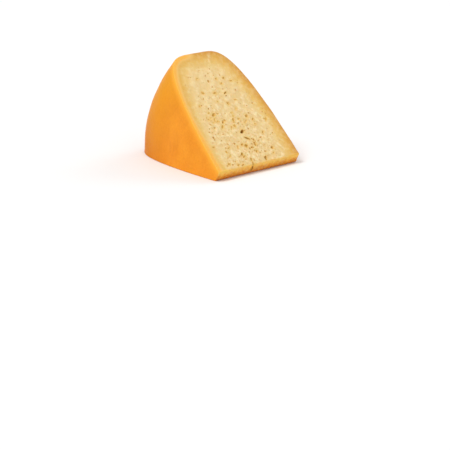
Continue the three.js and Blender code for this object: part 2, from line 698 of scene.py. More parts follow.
@dataclass(frozen=True)
class EyeScatter:
    """One layer of small eyes, strewn over a cut by a Geometry Nodes tree, none touching another."""

    spacing: float
    crowd: float
    smallest: float
    largest: float
    stretch: float = 0.5
    depth: float = 0.9
    unevenness: float = 0.8 * MM
    lump_scale: float = 1 / (3.0 * MM)

    @staticmethod
    def tree() -> bpy.types.GeometryNodeTree:
        """The tree that turns a flat carrier into uneven egg shapes, with an input for each size.

        Returns:
            The node tree.
        """
        skew, roundness, centre, whole_turn = 1.6, 2, (0.5, 0.5, 0.5), 2 * math.pi
        sizes = {label(size.name): "Float" for size in fields(EyeScatter)}
        inputs = {"Geometry": "Geometry", **sizes, "Seed": "Int", "Material": "Material"}
        tree, graph, given = new_group("small_eyes", "GeometryNodeTree", inputs, {"Geometry": "Geometry"})
        crowding = graph.add("GeometryNodeInputNamedAttribute", {"Name": "crowding"}, data_type="FLOAT")
        strewn = graph.add("GeometryNodeDistributePointsOnFaces",
                           {"Mesh": given["Geometry"], "Distance Min": given["Spacing"],
                            "Density Max": given["Crowd"], "Density Factor": crowding.outputs["Attribute"],
                            "Seed": given["Seed"]}, distribute_method="POISSON").outputs
        egg = graph.add("GeometryNodeMeshIcoSphere", {"Radius": 1.0, "Subdivisions": roundness})
        draws = [EyeScatter.draw(graph, given["Seed"], stream) for stream in (1, 2, 3)]
        size = graph.math("POWER", draws[0], skew)
        radius = graph.span(size, 0.0, 1.0, given["Smallest"], given["Largest"])
        longer = graph.math("MULTIPLY_ADD", draws[1], given["Stretch"], 1.0)
        scale = graph.add("ShaderNodeCombineXYZ", {"X": graph.product(radius, longer), "Y": radius,
                                                   "Z": graph.product(radius, given["Depth"])})
        spin = graph.add("ShaderNodeCombineXYZ", {"Z": graph.math("MULTIPLY", draws[2], whole_turn)})
        turned = graph.add("FunctionNodeEulerToRotation", {0: spin.outputs[0]})
        facing = graph.add("FunctionNodeRotateRotation", {0: strewn["Rotation"], 1: turned.outputs[0]},
                           rotation_space="LOCAL")
        eggs = graph.add("GeometryNodeInstanceOnPoints",
                         {"Points": strewn["Points"], "Instance": egg.outputs["Mesh"],
                          "Rotation": facing.outputs[0], "Scale": scale.outputs[0]})
        real = graph.add("GeometryNodeRealizeInstances", {"Geometry": eggs.outputs[0]})
        lumps = graph.add("ShaderNodeTexNoise", {"Scale": given["Lump Scale"]})
        centred = graph.add("ShaderNodeVectorMath", {0: lumps.outputs["Color"], 1: centre},
                            operation="SUBTRACT")
        sized = graph.add("ShaderNodeVectorMath",
                          {"Vector": centred.outputs[0], "Scale": given["Unevenness"]}, operation="SCALE")
        uneven = graph.add("GeometryNodeSetPosition",
                           {"Geometry": real.outputs[0], "Offset": sized.outputs[0]})
        dressed = graph.add("GeometryNodeSetMaterial",
                            {"Geometry": uneven.outputs[0], "Material": given["Material"]})
        graph.add("NodeGroupOutput", {"Geometry": dressed.outputs[0]})
        return tree

    @staticmethod
    def draw(graph: Graph, seed: Socket, stream: int) -> Socket:
        """A random number from 0 to 1 for each eye, which its stream keeps apart from other draws."""
        sources = {"Min": 0.0, "Max": 1.0, "Seed": graph.math("ADD", seed, stream)}
        return graph.add("FunctionNodeRandomValue", sources, data_type="FLOAT").outputs["Value"]

    def strew(self, tree: bpy.types.GeometryNodeTree, carrier: bpy.types.Object, seed: int,
              material: bpy.types.Material) -> bpy.types.Object:
        """Makes the eye shapes of one cut as a plain mesh.

        Args:
            tree: The tree from tree().
            carrier: The flat cut face, with its crowding at each point.
            seed: The seed of the draws.
            material: The finish inside the eyes.

        Returns:
            The object that holds the shapes.
        """
        values = {label(name): size for name, size in asdict(self).items()}
        values |= {"Seed": seed, "Material": material}
        modifier = carrier.modifiers.new("eyes", "NODES")
        modifier.node_group = tree
        for item in tree.interface.items_tree:
            if item.in_out == "INPUT" and item.name in values:
                modifier[item.identifier] = values[item.name]
        mesh = evaluated_mesh(carrier)
        carrier.modifiers.remove(modifier)
        return new_object(carrier.name + "_eyes", mesh)


def mottle_group() -> bpy.types.ShaderNodeTree:
    """Uneven colour at two scales, for the rind and the paste alike.

    Returns:
        The node group, with a broad and a fine value from 0 to 1.
    """
    low, high = 0.3, 0.7
    inputs = {"Vector": "Vector", "Broad Scale": "Float", "Fine Scale": "Float"}
    tree, graph, given = new_group("mottle", "ShaderNodeTree", inputs, {"Broad": "Float", "Fine": "Float"})
    result = {}
    for name, detail in (("Broad", 3.0), ("Fine", 2.0)):
        sources = {"Vector": given["Vector"], "Scale": given[name + " Scale"], "Detail": detail}
        noise = graph.add("ShaderNodeTexNoise", sources)
        result[name] = graph.span(noise.outputs["Fac"], low, high)
    graph.add("NodeGroupOutput", result)
    return tree


def mottled(graph: Graph, mottle: bpy.types.ShaderNodeTree, place: Socket,
            scales: tuple[float, float]) -> tuple[Socket, Socket]:
    """Places the mottle group in a material.

    Args:
        graph: The material's graph.
        mottle: The group from mottle_group().
        place: The socket with the place on the object.
        scales: The broad and the fine scale.

    Returns:
        The sockets with the broad and the fine value.
    """
    sources = {"Vector": place, "Broad Scale": scales[0], "Fine Scale": scales[1]}
    values = graph.add("ShaderNodeGroup", sources, node_tree=mottle).outputs
    return values["Broad"], values["Fine"]


def new_material(name: str) -> tuple[bpy.types.Material, Graph, bpy.types.Node, Socket]:
    """Starts a material.

    Args:
        name: The material's name.

    Returns:
        The material, its graph, its surface shader and the socket with the place on the object.
    """
    material = bpy.data.materials.new(name)
    material.use_nodes = True
    graph = Graph(material.node_tree)
    surface = material.node_tree.nodes["Principled BSDF"]
    return material, graph, surface, graph.add("ShaderNodeTexCoord").outputs["Object"]


@dataclass(frozen=True)
class Sheen:
    """How a surface of the cheese shines, lets light into itself and stands up in fine relief."""

    roughness: tuple[float, float]
    gloss: float
    glow: float
    glow_reach: float
    glow_colour: tuple[float, float, float]
    relief: float
    strength: float

    def apply(self, graph: Graph, surface: bpy.types.Node, colour: Socket, uneven: Socket,
              height: Socket) -> None:
        """Sets the surface shader.

        Args:
            graph: The material's graph.
            surface: The shader.
            colour: The socket with the colour.
            uneven: The socket that the roughness follows, from 0 to 1.
            height: The socket with the fine relief, as a share of its full height.
        """
        bump = graph.add("ShaderNodeBump",
                         {"Height": height, "Strength": self.strength, "Distance": self.relief})
        graph.feed(surface, {"Base Color": colour, "Specular IOR Level": self.gloss,
                             "Subsurface Weight": self.glow, "Subsurface Scale": self.glow_reach,
                             "Subsurface Radius": self.glow_colour,
                             "Roughness": graph.span(uneven, 0.0, 1.0, *self.roughness),
                             "Normal": bump.outputs["Normal"]})


@dataclass(frozen=True)
class RindFinish:
    """The smooth orange coat: a little blotched and smudged, paler along the slope, with painted shade that
    darkens and reddens it low around the rim and a painted highlight that makes it yellower high up.
    """

    name: str = "rind"
    deep: tuple = srgb(227, 136, 36)
    pale: tuple = srgb(246, 160, 46)
    # Painted shade and painted orange reflection: the rind darker and redder low around the rim.
    rim: tuple = srgb(205, 114, 2)
    # Painted highlight: the upper rind lighter and yellower where the light falls.
    high_rim_highlight: tuple = srgb(232, 168, 22)
    smudge: tuple = srgb(160, 100, 24)
    edge: tuple = srgb(250, 176, 62)
    blotch_scales: tuple[float, float] = (30.0, 330.0)
    stroke_scales: tuple[float, float] = (70.0, 330.0)
    stroke_squash: tuple[float, float, float] = (0.16, 1.0, 1.0)
    shade_shares: tuple[float, ...] = (0.4, 0.16, 0.14, 0.3)
    rim_share: float = 0.85
    high_rim_highlight_share: float = 0.45
    smudge_spans: tuple[tuple[float, float], ...] = ((0.42, 0.1), (0.65, 0.3), (0.75, 0.2))
    smudge_on_rim: tuple[float, ...] = (0.4, 1.0, 0.05, 0.4)
    edge_width: float = 11 * MM
    edge_falloff: float = 1.8
    pore_scale: float = 620.0
    pore_detail: float = 3.0
    blotch_relief: float = 1.4
    sheen: Sheen = Sheen(roughness=(0.29, 0.43), gloss=0.04, glow=0.1, glow_reach=3 * MM,
                         glow_colour=(1.0, 0.45, 0.15), relief=0.22 * MM, strength=0.4)

    def build(self, mottle: bpy.types.ShaderNodeTree) -> bpy.types.Material:
        """Makes the material.

        Args:
            mottle: The group from mottle_group().

        Returns:
            The material.
        """
        material, graph, surface, place = new_material(self.name)
        broad, fine = mottled(graph, mottle, place, self.blotch_scales)
        brushed = graph.add("ShaderNodeMapping",
                            {"Vector": graph.attribute("coat", "Vector"), "Scale": self.stroke_squash})
        stroke, bristle = mottled(graph, mottle, brushed.outputs["Vector"], self.stroke_scales)
        shade = graph.weighted(*zip((broad, stroke, bristle, fine), self.shade_shares))
        rim, high_rim_highlight = graph.attribute("rim"), graph.attribute("high_rim_highlight")
        smudges = [graph.span(value, *ends)
                   for value, ends in zip((stroke, broad, bristle), self.smudge_spans)]
        near_cut = graph.span(graph.attribute("slope_gap"), 0.0, self.edge_width, 1.0, 0.0)
        colour = graph.coated(graph.mix(shade, self.deep, self.pale), (
            # Painted shade: darker, redder orange low around the rim.
            (graph.span(rim, 0.0, 1.0, 0.0, self.rim_share), self.rim),
            # Painted highlight on the upper rind.
            (graph.span(high_rim_highlight, 0.0, 1.0, 0.0, self.high_rim_highlight_share), self.high_rim_highlight),
            (graph.product(*smudges, graph.span(rim, *self.smudge_on_rim)), self.smudge),
            (graph.math("POWER", near_cut, self.edge_falloff), self.edge)))
        pores = graph.add("ShaderNodeTexNoise",
                          {"Vector": place, "Scale": self.pore_scale, "Detail": self.pore_detail})
        height = graph.math("MULTIPLY_ADD", fine, self.blotch_relief, pores.outputs["Fac"])
        self.sheen.apply(graph, surface, colour, fine, height)
        return material


@dataclass(frozen=True)
class PasteFinish:
    """The pale inside, golden under the rind, with painted bounce light and shade at the tip and painted
    shade in the darker eyes.
    """

    name: str = "paste"
    cream: tuple = srgb(254, 232, 181)
    tan: tuple = srgb(222, 182, 112)
    halo: tuple = srgb(234, 190, 94)
    halo_share: float = 0.6
    reach: float = 22 * MM
    wander: float = 1.0 * MM
    layers: tuple[tuple[float, tuple], ...] = (
        (0.0, srgb(210, 142, 46)), (1.8, srgb(216, 154, 56)), (3.8, srgb(222, 165, 66)),
        (6.5, srgb(228, 176, 78)), (9.5, srgb(231, 186, 94)), (13.0, srgb(234, 195, 114)),
        (17.0, srgb(237, 203, 134)), (21.0, srgb(236, 204, 141)))
    lip_layers: tuple[tuple[float, float, tuple], ...] = (
        (0.0, 0.6, srgb(243, 195, 108)), (0.5, 1.0, srgb(250, 184, 74)))
    # Painted shade in the eyes and breaks, darker the deeper they go.
    pit_shade_layers: tuple[tuple[float, float, float, tuple], ...] = (
        (0.05, 0.6, 0.85, srgb(219, 172, 80)), (0.55, 1.7, 1.0, srgb(188, 138, 52)),
        (2.1, 3.4, 1.0, srgb(124, 68, 18)))
    tip_height: float = 12 * MM
    tip_unevenness: float = 2.5 * MM
    # Painted orange bounce light on the blunt tip: pale at the top, darker orange towards the foot.
    tip_bounce_stops: tuple[tuple[float, tuple], ...] = (
        (0.05, srgb(206, 110, 4)), (0.5, srgb(235, 160, 44)), (0.9, srgb(248, 195, 84)))
    grain_scales: tuple[float, float] = (75.0, 250.0)
    crumb_scales: tuple[float, float] = (170.0, 700.0)
    # Painted highlight: cream on the crumbs where their relief stands up.
    crumb_highlight_span: tuple[float, float] = (0.4, 1.0)
    crumb_highlight_on_crumble: tuple[float, ...] = (0.0, 1.0, 0.2, 1.0)
    dull_span: tuple[float, float] = (0.55, 0.05)
    dull_on_crumble: tuple[float, ...] = (0.0, 1.0, 0.12, 0.75)
    # Painted highlight on the comb ridges and painted shade in their troughs, following the ridges' height.
    comb_crest_highlight: tuple[float, ...] = (0.1, 1.8, 0.0, 0.26)
    comb_trough_shade: tuple[float, ...] = (-0.1, -1.8, 0.0, 0.24)
    streak_span: tuple[float, float] = (0.1, 0.8)
    crumb_relief: tuple[float, float] = (0.4, 2.0)
    dust_relief: float = 0.45
    sheen: Sheen = Sheen(roughness=(0.44, 0.6), gloss=0.3, glow=0.2, glow_reach=2.5 * MM,
                         glow_colour=(1.0, 0.6, 0.3), relief=0.58 * MM, strength=0.6)

    def tip(self, graph: Graph, place: Socket, grain: Socket) -> Socket:
        """The colour of the blunt tip, by height: painted orange bounce light, darkening to painted shade at
        the foot.

        Args:
            graph: The material's graph.
            place: The socket with the place on the object.
            grain: The socket that makes its levels uneven, from 0 to 1.

        Returns:
            The socket with the colour.
        """
        height = graph.add("ShaderNodeSeparateXYZ", {0: place}).outputs["Z"]
        uneven = graph.span(grain, 0.0, 1.0, -self.tip_unevenness, self.tip_unevenness)
        above = graph.span(graph.math("ADD", height, uneven), 0.0, self.tip_height)
        return graph.ramp(above, self.tip_bounce_stops)

    def coats(self, graph: Graph, place: Socket, grain: Socket, crumbs: Socket) -> Coats:
        """What lies over the colours beneath the rind.

        Args:
            graph: The material's graph.
            place: The socket with the place on the object.
            grain: The fine mottling.
            crumbs: The broad mottling of the crumbs.

        Returns:
            Each mask with its colour, from the lowest to the highest.
        """
        crumble, comb, lip, pit = [graph.attribute(name) for name in ("crumble", "comb", "lip", "pit")]
        # Painted highlight on the raised crumbs.
        crumb_highlights = graph.product(graph.span(crumbs, *self.crumb_highlight_span),
                               graph.span(crumble, *self.crumb_highlight_on_crumble))
        dull = graph.product(graph.span(grain, *self.dull_span),
                             graph.span(crumble, *self.dull_on_crumble))
        streak = graph.product(graph.attribute("cream"), graph.span(grain, *self.streak_span))
        # The comb coats are painted highlight on the ridges and painted shade in the troughs.
        coats = [(crumb_highlights, self.cream), (dull, self.tan), (graph.span(comb, *self.comb_crest_highlight), self.cream),
                 (graph.span(comb, *self.comb_trough_shade), self.tan), (streak, self.cream)]
        coats += [(graph.span(lip, *ends), tint) for *ends, tint in self.lip_layers]
        # Painted bounce light and shade over the blunt tip.
        coats.append((graph.attribute("tip_share"), self.tip(graph, place, grain)))
        coats.append((graph.span(graph.attribute("halo"), 0.0, 1.0, 0.0, self.halo_share), self.halo))
        # Painted shade inside the eyes and breaks, by depth.
        coats += [(graph.span(pit, start * MM, full * MM, 0.0, share), tint)
                  for start, full, share, tint in self.pit_shade_layers]
        return coats

    def build(self, mottle: bpy.types.ShaderNodeTree) -> bpy.types.Material:
        """Makes the material.

        Args:
            mottle: The group from mottle_group().

        Returns:
            The material.
        """
        material, graph, surface, place = new_material(self.name)
        patches, grain = mottled(graph, mottle, place, self.grain_scales)
        crumbs, dust = mottled(graph, mottle, place, self.crumb_scales)
        wander = graph.span(patches, 0.0, 1.0, -self.wander, self.wander)
        depth = graph.span(graph.math("ADD", graph.attribute("crust"), wander), 0.0, self.reach)
        under_rind = graph.ramp(depth, [(level * MM / self.reach, tint) for level, tint in self.layers])
        colour = graph.coated(under_rind, self.coats(graph, place, grain, crumbs))
        lumps = graph.product(crumbs, graph.span(graph.attribute("crumble"), 0.0, 1.0, *self.crumb_relief))
        height = graph.math("MULTIPLY_ADD", dust, self.dust_relief, lumps)
        self.sheen.apply(graph, surface, colour, grain, height)
        return material


@dataclass(frozen=True)
class Surface:
    """The wedge's skin: cuts that crumble in the middle and are combed higher up, and a smooth rind."""

    wedge: Wedge = field(default_factory=Wedge)
    reach: float = 5 * MM
    calm_over_base: float = 1.875 * MM
    least_share: float = 1e-6
    rind_swell: tuple[Swell, ...] = (Swell(70 * MM, 0.45 * MM, 3), Swell(22 * MM, 0.12 * MM, 5))
    cut_swell: tuple[Swell, ...] = (Swell(45 * MM, 0.22 * MM, 7), Swell(12 * MM, 0.08 * MM, 11))
    tip_swell: tuple[Swell, ...] = (Swell(24 * MM, 0.5 * MM, 13), Swell(9 * MM, 0.3 * MM, 17),
                                    Swell(4.6 * MM, 0.2 * MM, 37))
    crumb_swell: Swell = Swell(5.2 * MM, 0.22 * MM, 19)
    crumble_swell: Swell = Swell(38 * MM, 0.2, 23)
    crumble_level: float = 0.8
    crumble_depths: tuple[float, float] = (9 * MM, 29 * MM)
    crumble_heights: tuple[float, float] = (85 * MM, 155 * MM)
    crumble_fade: float = 0.65
    comb_swell: Swell = Swell(8.5 * MM, 0.2 * MM, 29)
    comb_lean: float = 0.42
    comb_stretch: float = 0.3
    comb_heights: tuple[float, float] = (60 * MM, 120 * MM)
    comb_least: float = 0.15
    comb_margin: float = 12 * MM

    def crumble(self, points: np.ndarray, gaps: dict[Side, np.ndarray], side: Side) -> np.ndarray:
        """How crumbly a cut is.

        Args:
            points: The points, one in each row.
            gaps: How far they lie beneath each side.
            side: The cut.

        Returns:
            A value for each point, from 0 near the rind to 1 in the cut's lower middle.
        """
        inside = rise(gaps[Side.RIND], *self.crumble_depths)
        low = 1 - self.crumble_fade * rise(self.wedge.up_cut(points, side), *self.crumble_heights)
        patchy = self.crumble_level + self.crumble_swell.at(points)
        return np.clip(inside * low * patchy, 0, 1)

    def combing(self, points: np.ndarray) -> np.ndarray:
        """The long ridges that the knife drew down the upper part of the slope.

        Args:
            points: The points, one in each row.

        Returns:
            Their height at each point.
        """
        up = self.wedge.up_cut(points, Side.SLOPE)
        size = math.hypot(1, self.comb_lean)
        along = (up + self.comb_lean * points[:, 1]) / size
        beside = (points[:, 1] - self.comb_lean * up) / size
        ridges = self.comb_swell.at(np.stack([along * self.comb_stretch, beside, 0 * up], axis=1))
        return ridges * np.maximum(rise(up, *self.comb_heights), self.comb_least)

    def swell(self, points: np.ndarray, gaps: dict[Side, np.ndarray]) -> np.ndarray:
        """How far the surface stands out of the ideal wedge.

        Args:
            points: The points near the surface, one in each row.
            gaps: How far they lie beneath each side.

        Returns:
            The height at each point.
        """
        swells = {Side.RIND: self.rind_swell, Side.SLOPE: self.cut_swell, Side.TIP: self.tip_swell}
        near = {side: rise(gaps[side], self.reach, 0) for side in swells}
        total = sum(near.values()) + self.least_share
        height = sum(near[side] / total * sum(swell.at(points) for swell in swells[side]) for side in swells)
        crumbs = self.crumb_swell.at(points) * self.crumble(points, gaps, Side.SLOPE)
        combed = self.combing(points) * rise(gaps[Side.RIND], 0, self.comb_margin)
        height = height + near[Side.SLOPE] / total * (crumbs + combed)
        return height * (1 - rise(gaps[Side.BASE], self.reach, self.calm_over_base))

    def body(self) -> bpy.types.Object:
        """The wedge without its eyes.

        Returns:
            The object, whose faces have their finish numbers.
        """
        mesh = grid_mesh("wedge_body", self.wedge.patches())
        points, outward = self.wedge.rounded(read_points(mesh))
        gaps, _ = self.wedge.gaps(points)
        points = points + outward * self.swell(points, gaps)[:, None]
        points[:, 2] = np.maximum(points[:, 2], 0)
        mesh.vertices.foreach_set("co", points.ravel())
        mesh.update()
        return new_object("wedge_body", mesh)


@dataclass(frozen=True)
class Eyes:
    """The gas holes that the cuts opened, and the breaks along the blunt tip.

    The rows of large openings give millimetres up the slope from the wheel's axis and across from its
    middle, half length and half width, then the turn in degrees and the depth as a share of the half width.
    """

    layers: tuple[EyeScatter, ...] = (
        EyeScatter(spacing=6.2 * MM, crowd=90000.0, smallest=0.9 * MM, largest=1.8 * MM, stretch=0.6),
        EyeScatter(spacing=4.7 * MM, crowd=120000.0, smallest=0.7 * MM, largest=1.35 * MM, stretch=0.6),
        EyeScatter(spacing=3.3 * MM, crowd=90000.0, smallest=0.45 * MM, largest=0.95 * MM),
    )
    seed: int = 4
    large: tuple[Opening, ...] = openings(
        (66, 1.5, 4.2, 2.2, -60, 1.7), (55, 3, 4.4, 1.38, 52, 1.7), (85, -19, 3.2, 2, -50, 1),
        (78.5, -24.5, 4.4, 1.75, -45), (97.5, -27.5, 4.2, 2.25, -60), (45.5, -5.5, 3.1, 2.25, -85, 0.62),
        (44.5, 10, 3.4, 1.88, -17), (34.5, 34, 2.5, 2.25, -80), (23, 14.5, 4, 2.12, -25, 1.35),
        (35, -19.5, 2.8, 1.88, -47, 1.05), (21.5, -35, 2.6, 1.88, -64), (25.5, -49, 2.6, 1.75, -69),
        (86, 23.5, 2.5, 2.25, -85), (85, -1.5, 3.2, 1.62, -26), (109, 5.5, 2.8, 2, 3, 0.65),
        (124, 10, 3.2, 1.62, -63, 0.6), (127, -6, 3, 1.75, 83, 0.65), (130.5, -25, 2.4, 2, 80, 0.6),
        (146, 22, 2.2, 1.75, -69, 0.65), (51, 12, 1.7, 1.88, 50), (48, -11, 2.2, 1.75, -89),
        (27.5, 32, 2.1, 1.5, -75), (25, -10, 3.1, 1.38, -26, 1.6), (18, -11, 4.5, 1.5, -13, 1.2),
        (31, -18, 2.6, 1.5, -73, 1.2), (20.3, -28, 2.5, 1.25, -74, 1.1), (36.3, -40, 2.1, 1.38, -30),
        (53, -58, 2.3, 1.5, -82, 0.6), (47.6, -35, 2.3, 1.25, -74), (76, -5, 2.4, 1.88, 14),
        (80, 30.5, 2.5, 1.12, -41, 1.2), (76, 51.5, 2.3, 1.12, -39), (59, 34, 2.5, 1.12, -52, 1.3),
        (87, -34, 2.7, 1.12, -88), (140, 31.5, 2.5, 1.25, 87, 0.62), (139, 14, 2.4, 1.25, -64, 0.62),
        (147, 10, 2, 1.38, -77), (112, 21, 2.7, 1.12, 76), (95, 2.4, 2.3, 1.25, -89),
        (152, -21, 2.3, 1.25, -68, 0.65), (114.5, -9.5, 2.2, 1.12, -71), (99, 12.6, 2.2, 1.12, -62),
        (94, -35.5, 2.2, 1.38, -20, 0.62), (90.6, -30.5, 2.2, 1.5, -45), (92, -40, 1.9, 1.25, 30, 1.2),
        (101, -34, 1.7, 1.12, -60), (87, -27, 1.7, 1.25, -30), (90, 2, 2.4, 1.38, -34),
        (84.5, 8.5, 2, 1.5, 70), (75, -11, 2.4, 1.38, -30), (78.5, 16.3, 4.6, 1.25, -56),
        (41, 2, 2.2, 1.5, 85), (46.5, -19.5, 2, 1.25, -10, 1.1), (34.5, 6, 2.2, 1.5, -40),
        (43, -42, 1.9, 1.38, 15, 1.1), (113, -42, 1.8, 1.25, -34), (72.5, 30, 2, 1.25, 20),
    )
    large_seed: int = 100
    bites: tuple[Opening, ...] = openings(
        (16.8, -47, 3.2, 1.1, 94, 0.9), (16.4, -33, 4.6, 1.2, 88, 0.8), (16.8, -4, 3.4, 1, 97, 0.9),
        (16.5, 11, 4.4, 1.3, 90, 0.8), (16.8, 27, 3, 1, 84, 0.9), (16.5, 43, 4.8, 1.1, 93, 0.8),
        (16.7, 58, 3.2, 1, 88, 0.8),
    )
    bite_seed: int = 200
    tip_break: Opening = Opening(7.5 * MM, -12 * MM, 5.2 * MM, 2.2 * MM, -10, 1.4)
    tip_seed: int = 99
    lump_pitch: float = 1.6
    lump_height: float = 0.14
    roundness: int = 3
    clusters: tuple[Cluster, ...] = (
        Cluster(93 * MM, -34 * MM, 8 * MM), Cluster(80 * MM, -20 * MM, 9 * MM),
        Cluster(82 * MM, 1 * MM, 11 * MM), Cluster(48 * MM, 3 * MM, 14 * MM),
        Cluster(31 * MM, -13 * MM, 11 * MM), Cluster(27 * MM, 24 * MM, 11 * MM),
    )
    cluster_fade: tuple[float, float] = (1.5, 0.5)
    cluster_full: float = 0.99
    cluster_crumble: float = 0.8
    crowd_swell: Swell = Swell(24 * MM, 0.3, 31)
    crowd_level: float = 0.36
    crowd_least: float = 0.08
    tip_margin: float = 3 * MM
    clear_of_large: float = 0.8
    base_share: float = 0.4

    def crowding(self, surface: Surface, side: Side, points: np.ndarray) -> np.ndarray:
        """How crowded the small eyes are over one cut.

        Args:
            surface: The wedge's surface.
            side: The cut.
            points: The points, one in each row.

        Returns:
            A value for each point, from 0 to 1.
        """
        on_slope = side is Side.SLOPE
        gaps, _ = surface.wedge.gaps(points)
        up = surface.wedge.up_cut(points, side)
        clusters = np.clip(self.crowd_level + self.crowd_swell.at(points), self.crowd_least, 1)
        for spot in self.clusters if on_slope else ():
            gap = np.hypot(up - spot.up, points[:, 1] - spot.across)
            clusters = np.maximum(clusters, rise(gap / spot.reach, *self.cluster_fade))
        packed = self.cluster_crumble * (clusters > self.cluster_full)
        crowding = np.maximum(surface.crumble(points, gaps, side), packed) * clusters
        crowding *= up > surface.wedge.tip_up_cut + self.tip_margin
        for shape in self.large if on_slope else ():
            gap = np.hypot(up - shape.up, points[:, 1] - shape.across)
            crowding *= gap > self.clear_of_large * shape.length
        return crowding * (1.0 if on_slope else self.base_share)

    def carrier(self, surface: Surface, side: Side) -> bpy.types.Object:
        """The flat face that the small eyes of one cut are strewn on.

        Args:
            surface: The wedge's surface.
            side: The cut.

        Returns:
            The object, with its crowding at each point.
        """
        grid = surface.wedge.cut_grid(surface.wedge.turn_of(side))
        mesh = grid_mesh(side.value, [(grid, Finish.PASTE, side is Side.BASE)])
        if mesh.polygons[0].normal.dot(surface.wedge.face_frame(side)[2]) < 0:
            mesh.flip_normals()
        write_attribute(mesh, "crowding", self.crowding(surface, side, read_points(mesh)))
        return new_object(side.value, mesh)

    def opening(self, wedge: Wedge, side: Side, shape: Opening, seed: int) -> bpy.types.Object:
        """An uneven egg shape that opens a flat side.

        Args:
            wedge: The wedge.
            side: The flat side.
            shape: The opening's place and sizes.
            seed: The seed of its lumps.

        Returns:
            The closed shape to take out of the wedge.
        """
        origin, away, normal = wedge.face_frame(side)
        along = Quaternion(normal, math.radians(shape.turn)) @ away
        centre = origin + away * shape.up + Vector((0, shape.across, 0))
        axes = Matrix((along, normal.cross(along), normal)).transposed().to_4x4()
        sizes = Matrix.Diagonal((shape.length, shape.width, shape.depth * shape.width, 1))
        placing = Matrix.Translation(centre) @ axes @ sizes
        mesh = bpy.data.meshes.new("opening")
        with edited(mesh) as working:
            bmesh.ops.create_icosphere(working, subdivisions=self.roundness, radius=1)
            points = np.array([vertex.co for vertex in working.verts])
            lumps = Swell(self.lump_pitch, self.lump_height, seed).at(points)
            for vertex, point in zip(working.verts, points * (1 + lumps)[:, None]):
                vertex.co = point
            bmesh.ops.transform(working, matrix=placing, verts=working.verts)
            bmesh.ops.recalc_face_normals(working, faces=working.faces)
        return new_object("opening", mesh)

    def build(self, surface: Surface, material: bpy.types.Material) -> list[bpy.types.Object]:
        """Makes the shapes of all the eyes and breaks.

        Args:
            surface: The wedge's surface.
            material: The finish inside them.

        Returns:
            The closed shapes to take out of the wedge.
        """
        tree = EyeScatter.tree()
        tools = []
        for side in (Side.SLOPE, Side.BASE):
            carrier = self.carrier(surface, side)
            for layer in self.layers:
                tools.append(layer.strew(tree, carrier, self.seed + len(tools), material))
                log.info("%s eyes: %d faces", side.value, len(tools[-1].data.polygons))
            bpy.data.objects.remove(carrier)
        for first_seed, shapes in ((self.large_seed, self.large), (self.bite_seed, self.bites)):
            tools += [self.opening(surface.wedge, Side.SLOPE, shape, seed)
                      for seed, shape in enumerate(shapes, first_seed)]
        tools.append(self.opening(surface.wedge, Side.TIP, self.tip_break, self.tip_seed))
        return tools


@dataclass(frozen=True)
class Places:
    """Where points lie, as one number of each kind for each point.

    They are the depth beneath the rind, the distance from the middle plane with its sign, the same as a
    share of the wheel's half thickness, and the distance up the slope from the wheel's axis.
    """

    rind: np.ndarray
    side: np.ndarray
    across: np.ndarray
    up: np.ndarray


